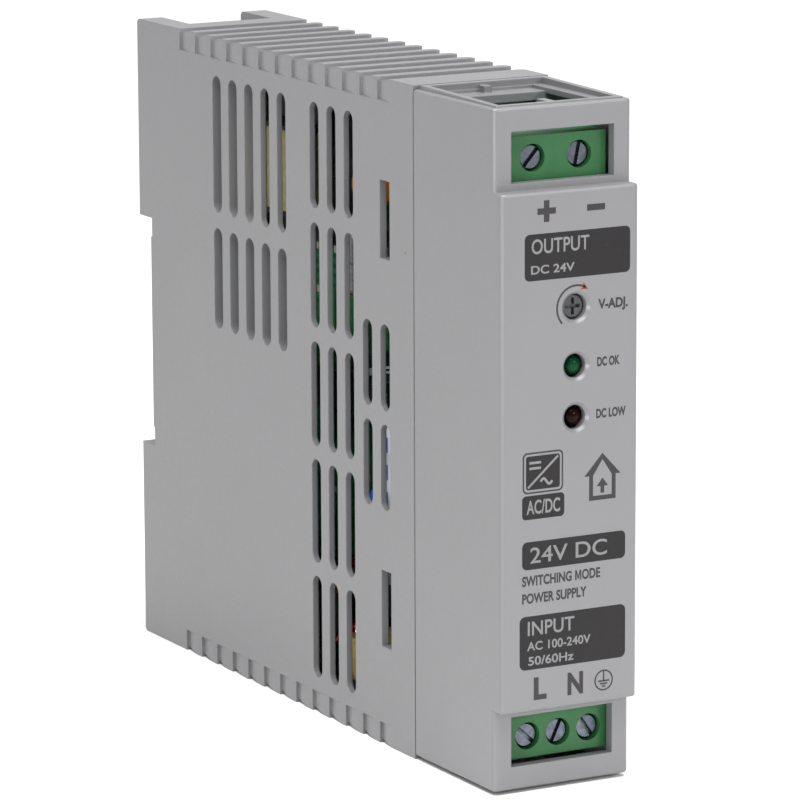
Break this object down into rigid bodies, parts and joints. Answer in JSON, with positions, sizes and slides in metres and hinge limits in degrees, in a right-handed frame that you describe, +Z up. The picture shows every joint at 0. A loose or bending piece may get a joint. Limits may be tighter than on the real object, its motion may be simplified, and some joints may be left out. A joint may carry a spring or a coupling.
{
  "type": "din rail power supply",
  "caption": "Slim vented plastic power supply that snaps onto a top-hat rail, with screw terminals at the top and bottom of a stepped front.",
  "frame": {"origin": "centre of the seat that rests on the front of the rail", "axes": "+Z up with the output terminals at the top, +Y from the seat towards the rail, so the label face looks along -Y"},
  "size_m": [0.0226, 0.1165, 0.1],
  "materials": {
    "case_plastic": "moulded, fine matt texture",
    "latch_plastic": "moulded matt",
    "spring_steel": "bright drawn wire",
    "circuit_board": "green solder mask",
    "black_plastic": "moulded matt",
    "green_plastic": "moulded satin",
    "tinned_copper": "tin plated",
    "blue_plastic": "moulded satin",
    "grey_plastic": "moulded satin",
    "green_lens": "tinted epoxy lens",
    "red_lens": "tinted epoxy lens",
    "ferrite": "ground ferrite",
    "yellow_tape": "polyester tape",
    "copper_wire": "enamelled wire",
    "blue_sleeve": "shrunk sleeve",
    "aluminium": "rolled plate",
    "black_epoxy": "moulded epoxy",
    "nickel_steel": "nickel plated",
    "resistor_lacquer": "lacquered",
    "blue_epoxy": "dipped epoxy",
    "orange_epoxy": "dipped epoxy",
    "brown_plastic": "moulded",
    "yellow_plastic": "potted box",
    "black_sleeve": "shrunk sleeve"
  },
  "bodies": {
    "root": {"rear_housing": "case_plastic", "front_cover": "case_plastic", "latch_spring": "spring_steel", "front_board": "circuit_board", "main_board": "circuit_board", "board_link": "black_plastic", "output_terminal_block": "green_plastic", "input_terminal_block": "green_plastic", "output_contacts": "tinned_copper", "input_contacts": "tinned_copper", "trimmer_body": "blue_plastic", "led_dc_ok": "green_lens", "led_dc_low": "red_lens", "indicator_spacers": "black_plastic", "transformer_core_upper": "ferrite", "transformer_core_lower": "ferrite", "transformer_bobbin": "black_plastic", "transformer_winding": "yellow_tape", "emi_choke_core": "ferrite", "emi_choke_windings": "copper_wire", "bulk_capacitor": "blue_sleeve", "heatsink": "aluminium", "power_transistor": "black_epoxy", "transistor_screw": "nickel_steel", "resistors": "resistor_lacquer", "inrush_thermistor": "black_epoxy", "surge_varistor": "blue_epoxy", "y_capacitor": "blue_epoxy", "snubber_capacitor": "orange_epoxy", "input_fuse": "brown_plastic", "x_capacitor": "yellow_plastic", "bridge_rectifier": "black_epoxy", "optocoupler": "black_epoxy", "control_ic": "black_epoxy", "output_capacitor_a": "black_sleeve", "output_capacitor_b": "black_sleeve", "supply_capacitor": "black_sleeve", "output_inductor": "black_sleeve", "output_rectifier": "black_epoxy"},
    "latch": {"rail_latch": "latch_plastic"},
    "rotor": {"trimmer_rotor": "grey_plastic"},
    "output_plus_screw": {"output_screw_plus": "nickel_steel"},
    "output_plus_cage": {"output_cage_plus": "nickel_steel"},
    "output_minus_screw": {"output_screw_minus": "nickel_steel"},
    "output_minus_cage": {"output_cage_minus": "nickel_steel"},
    "input_live_screw": {"input_screw_live": "nickel_steel"},
    "input_live_cage": {"input_cage_live": "nickel_steel"},
    "input_neutral_screw": {"input_screw_neutral": "nickel_steel"},
    "input_neutral_cage": {"input_cage_neutral": "nickel_steel"},
    "input_earth_screw": {"input_screw_earth": "nickel_steel"},
    "input_earth_cage": {"input_cage_earth": "nickel_steel"}
  },
  "joints": [
    {"name": "latch_slide", "type": "slide", "parent": "root", "child": "latch", "axis": [0, 0, -1], "range_m": [0, 0.004], "stiffness_N_per_m": 900, "springref_m": -0.003, "deforming": ["latch_spring"]},
    {"name": "trimmer_turn", "type": "hinge", "parent": "root", "child": "rotor", "pos_m": [0.0009, -0.105, 0.0206], "axis": [0, 1, 0], "range_deg": [-135, 135]},
    {"name": "output_plus_turn", "type": "hinge", "parent": "root", "child": "output_plus_screw", "pos_m": [-0.00381, -0.104, 0.04175], "axis": [0, 1, 0], "range_deg": [0, 1800]},
    {"name": "output_plus_clamp", "type": "slide", "parent": "root", "child": "output_plus_cage", "axis": [0, -1, 0], "range_m": [0, 0.00225]},
    {"name": "output_minus_turn", "type": "hinge", "parent": "root", "child": "output_minus_screw", "pos_m": [0.00381, -0.104, 0.04175], "axis": [0, 1, 0], "range_deg": [0, 1800]},
    {"name": "output_minus_clamp", "type": "slide", "parent": "root", "child": "output_minus_cage", "axis": [0, -1, 0], "range_m": [0, 0.00225]},
    {"name": "input_live_turn", "type": "hinge", "parent": "root", "child": "input_live_screw", "pos_m": [-0.00458, -0.104, -0.0423], "axis": [0, 1, 0], "range_deg": [0, 1800]},
    {"name": "input_live_clamp", "type": "slide", "parent": "root", "child": "input_live_cage", "axis": [0, -1, 0], "range_m": [0, 0.00225]},
    {"name": "input_neutral_turn", "type": "hinge", "parent": "root", "child": "input_neutral_screw", "pos_m": [0.0005, -0.104, -0.0423], "axis": [0, 1, 0], "range_deg": [0, 1800]},
    {"name": "input_neutral_clamp", "type": "slide", "parent": "root", "child": "input_neutral_cage", "axis": [0, -1, 0], "range_m": [0, 0.00225]},
    {"name": "input_earth_turn", "type": "hinge", "parent": "root", "child": "input_earth_screw", "pos_m": [0.00558, -0.104, -0.0423], "axis": [0, 1, 0], "range_deg": [0, 1800]},
    {"name": "input_earth_clamp", "type": "slide", "parent": "root", "child": "input_earth_cage", "axis": [0, -1, 0], "range_m": [0, 0.00225]}
  ],
  "couplings": [
    {"joint": "output_plus_turn", "follows": "output_plus_clamp", "rad_per_m": 13962},
    {"joint": "output_minus_turn", "follows": "output_minus_clamp", "rad_per_m": 13962},
    {"joint": "input_live_turn", "follows": "input_live_clamp", "rad_per_m": 13962},
    {"joint": "input_neutral_turn", "follows": "input_neutral_clamp", "rad_per_m": 13962},
    {"joint": "input_earth_turn", "follows": "input_earth_clamp", "rad_per_m": 13962}
  ]
}
